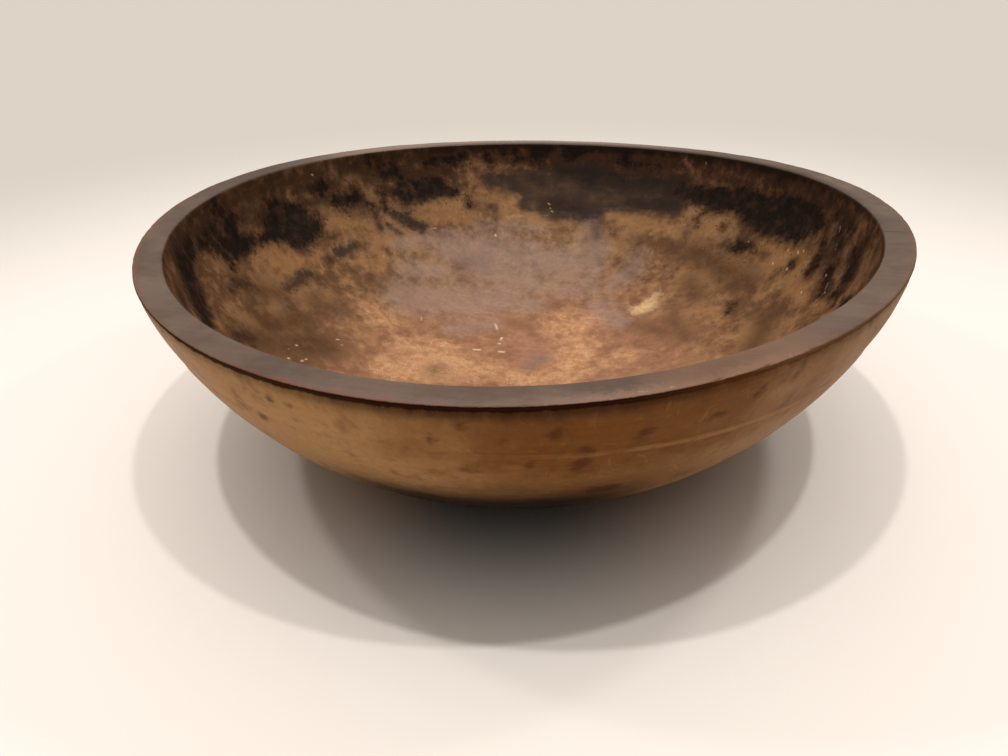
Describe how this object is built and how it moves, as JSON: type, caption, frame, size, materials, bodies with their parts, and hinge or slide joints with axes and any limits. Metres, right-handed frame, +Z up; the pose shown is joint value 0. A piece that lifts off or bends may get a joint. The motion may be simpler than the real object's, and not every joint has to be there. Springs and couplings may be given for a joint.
{
  "type": "dough bowl",
  "caption": "Large round wooden dough bowl turned from one block, with a flat rim that has warped into a slight saddle, a faint turned line outside and a flat base.",
  "frame": {"origin": "middle of the flat base, on the surface that the bowl stands on", "axes": "+X along the grain, where the rim is highest; +Y across the grain, where the rim dips; +Z up out of the hollow"},
  "size_m": [0.4607, 0.458, 0.1498],
  "materials": {
    "old_turned_wood": "old hand-rubbed hardwood, golden brown outside, brown inside with black stains, grey-brown on the rim"
  },
  "bodies": {
    "root": {"bowl": "old_turned_wood"}
  },
  "joints": []
}
